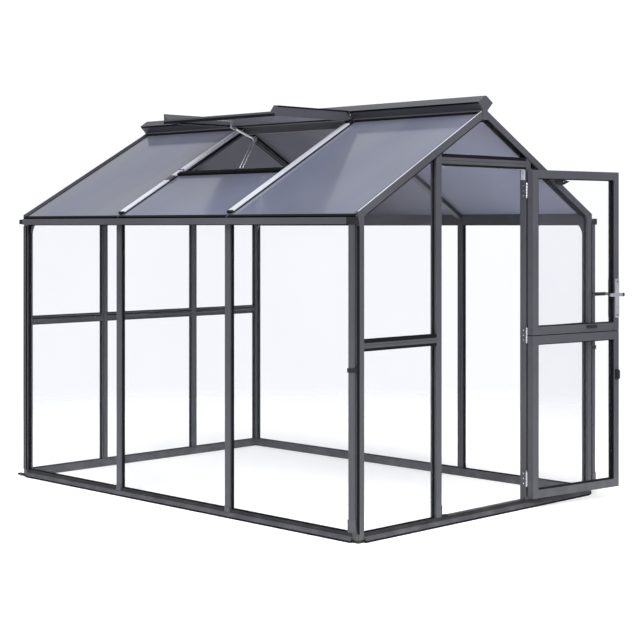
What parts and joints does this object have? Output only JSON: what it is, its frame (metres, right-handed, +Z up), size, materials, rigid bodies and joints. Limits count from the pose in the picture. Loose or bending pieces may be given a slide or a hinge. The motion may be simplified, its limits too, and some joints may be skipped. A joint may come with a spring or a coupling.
{
  "type": "greenhouse",
  "caption": "Walk-in garden greenhouse with a pitched roof, clear panes in dark bars, a split door standing open and a propped roof vent.",
  "frame": {"origin": "middle of the ground anchor holes, on the ground plane under the ridge", "axes": "+X to the right seen from the door gable, +Y along the ridge to the back gable, +Z up"},
  "size_m": [2.0041, 2.9503, 2.1572],
  "materials": {
    "frame": "powder coated, satin",
    "cap": "powder coated, satin",
    "clear_pane": "clear",
    "roof_pane": "smoked",
    "black_plastic": "matte",
    "steel": "satin"
  },
  "bodies": {
    "house": {"sill_front": "frame", "sill_back": "frame", "sill_left": "frame", "sill_right": "frame", "corner_feet": "black_plastic", "corner_posts": "frame", "side_posts_left": "frame", "side_posts_right": "frame", "door_post_left": "frame", "door_post_right": "frame", "back_posts": "frame", "front_mid_rails": "frame", "back_mid_rails": "frame", "door_header": "frame", "header_brackets": "steel", "eave_beam_left": "frame", "eave_beam_right": "frame", "gutters": "frame", "gutter_outlets": "black_plastic", "gutter_end_caps": "black_plastic", "downpipes": "frame", "downpipe_clips": "black_plastic", "corner_gussets": "frame", "gable_rafters": "frame", "roof_bars": "frame", "bar_caps": "cap", "ridge_beam": "frame", "ridge_end_plates": "frame", "roof_panes_left": "roof_pane", "roof_panes_right": "roof_pane", "wall_panes": "clear_pane", "gable_panes_front": "clear_pane", "gable_panes_back": "clear_pane", "vent_crossbar": "frame", "vent_hinge_ears": "frame", "stay_base": "steel", "door_hinges": "steel", "door_guide": "black_plastic", "door_catch": "black_plastic"},
    "upper_leaf": {"upper_leaf_stiles": "frame", "upper_leaf_rails": "frame", "upper_leaf_pane": "clear_pane", "upper_leaf_hinges": "steel", "handle_plates": "steel"},
    "lower_leaf": {"lower_leaf_stiles": "frame", "lower_leaf_rails": "frame", "lower_leaf_pane": "clear_pane", "lower_leaf_hinges": "steel", "lower_latch_base": "black_plastic"},
    "door_lever": {"lever_handle": "steel"},
    "door_bolt": {"latch_bolt": "steel"},
    "turn_catch": {"leaf_catch": "black_plastic"},
    "turn_latch": {"lower_latch": "black_plastic"},
    "vent": {"vent_sash_sides": "frame", "vent_sash_ends": "frame", "vent_pane": "roof_pane", "vent_hinge_pins": "steel", "stay_sash_bracket": "steel"},
    "stay_tube": {"stay_arm": "steel"},
    "stay_pair": {"stay_rods": "steel"}
  },
  "joints": [
    {"name": "upper_leaf_swing", "type": "hinge", "parent": "house", "child": "upper_leaf", "pos_m": [0.3405, -1.3805, 1.35], "axis": [0, 0, 1], "range_deg": [-172.5, 0]},
    {"name": "lower_leaf_swing", "type": "hinge", "parent": "house", "child": "lower_leaf", "pos_m": [0.3405, -1.3805, 0.48], "axis": [0, 0, 1], "range_deg": [-172.5, 0]},
    {"name": "lever_turn", "type": "hinge", "parent": "upper_leaf", "child": "door_lever", "pos_m": [0.9826, -1.49075, 1.114], "axis": [-0.1305, -0.9914, 0], "range_deg": [0, 40], "stiffness_Nm_per_rad": 1.5, "springref_deg": -11.46},
    {"name": "bolt_slide", "type": "slide", "parent": "upper_leaf", "child": "door_bolt", "axis": [0.9914, -0.1305, 0], "range_m": [-0.008, 0]},
    {"name": "catch_turn", "type": "hinge", "parent": "upper_leaf", "child": "turn_catch", "pos_m": [0.74899, -1.48017, 0.9445], "axis": [-0.1305, -0.9914, 0], "range_deg": [-90, 0]},
    {"name": "latch_turn", "type": "hinge", "parent": "lower_leaf", "child": "turn_latch", "pos_m": [0.97999, -1.51058, 0.69], "axis": [-0.1305, -0.9914, 0], "range_deg": [0, 90]},
    {"name": "vent_swing", "type": "hinge", "parent": "house", "child": "vent", "pos_m": [-0.053, 0, 2.08342], "axis": [0, 1, 0], "range_deg": [-29.5, 0]},
    {"name": "stay_tube_turn", "type": "hinge", "parent": "vent", "child": "stay_tube", "pos_m": [-0.508, 0, 2.03742], "axis": [0, 1, 0], "range_deg": [-24.29, 0]},
    {"name": "stay_pair_turn", "type": "hinge", "parent": "house", "child": "stay_pair", "pos_m": [-0.44441, 0, 1.80452], "axis": [0, 1, 0], "range_deg": [0, 25.03]}
  ],
  "couplings": [
    {"joint": "bolt_slide", "follows": "lever_turn", "m_per_rad": -0.011459},
    {"joint": "stay_tube_turn", "follows": "vent_swing", "ratio": 0.82},
    {"joint": "stay_pair_turn", "follows": "vent_swing", "ratio": -0.845}
  ]
}
